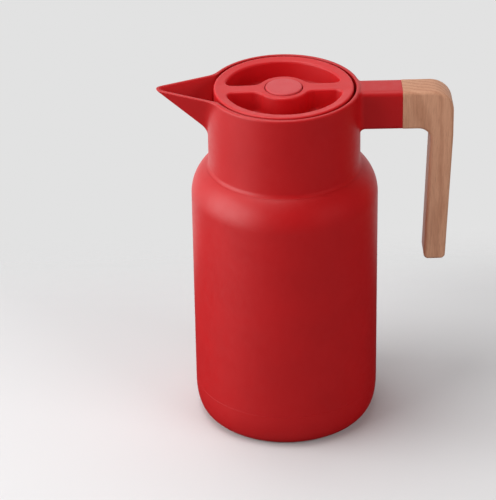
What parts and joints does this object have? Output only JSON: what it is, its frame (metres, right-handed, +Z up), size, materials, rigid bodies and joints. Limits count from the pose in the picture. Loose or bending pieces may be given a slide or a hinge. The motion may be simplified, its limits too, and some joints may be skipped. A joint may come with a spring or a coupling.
{
  "type": "vacuum jug",
  "caption": "Insulated serving jug: domed-shoulder body, V-shaped spout, L-shaped wooden grip, screw stopper with finger recesses and a push button.",
  "frame": {"origin": "centre of the foot pad's underside, on the table, on the jug's turning axis", "axes": "+Z up along the jug's axis, the spout points along -X, the handle along +X, +Y across"},
  "size_m": [0.1964, 0.125, 0.2455],
  "materials": {
    "body_red": "satin moulded plastic",
    "lid_red": "satin moulded plastic",
    "inner_red": "plain moulded plastic",
    "beech": "oiled beech",
    "silvered_glass": "glass with a silvered inside",
    "clear_glass": "blown glass over silvering",
    "grey_silicone": "soft moulded silicone",
    "white_silicone": "soft moulded silicone",
    "spacer_felt": "pressed fibre",
    "steel": "stainless steel"
  },
  "bodies": {
    "jug": {"foot_pad": "grey_silicone", "base_cover": "body_red", "flask_cushion": "white_silicone", "body_shell": "body_red", "outer_flask": "silvered_glass", "inner_flask": "clear_glass", "flask_spacers": "spacer_felt", "flask_gasket": "white_silicone", "neck_insert": "inner_red", "collar": "body_red", "collar_clip": "steel", "handle_grip": "beech", "grip_screws": "steel"},
    "seal_ring": {"stopper_gasket": "white_silicone"},
    "stopper": {"stopper_base": "inner_red", "stopper_cap": "lid_red", "stopper_screws": "steel", "stem_seal": "grey_silicone", "button_spring": "steel"},
    "button": {"push_button": "lid_red", "valve_stem": "steel", "valve_plate": "inner_red", "valve_seal": "white_silicone", "valve_screw": "steel"}
  },
  "joints": [
    {"name": "stopper_rise", "type": "slide", "parent": "jug", "child": "seal_ring", "axis": [0, 0, 1], "range_m": [0, 0.009]},
    {"name": "stopper_turn", "type": "hinge", "parent": "seal_ring", "child": "stopper", "pos_m": [0, 0, 0.2], "axis": [0, 0, 1], "range_deg": [0, 540]},
    {"name": "button_press", "type": "slide", "parent": "stopper", "child": "button", "axis": [0, 0, -1], "range_m": [0, 0.004], "stiffness_N_per_m": 800, "springref_m": -0.005, "deforming": ["button_spring"]}
  ],
  "couplings": [
    {"joint": "stopper_turn", "follows": "stopper_rise", "rad_per_m": 1047.2}
  ]
}
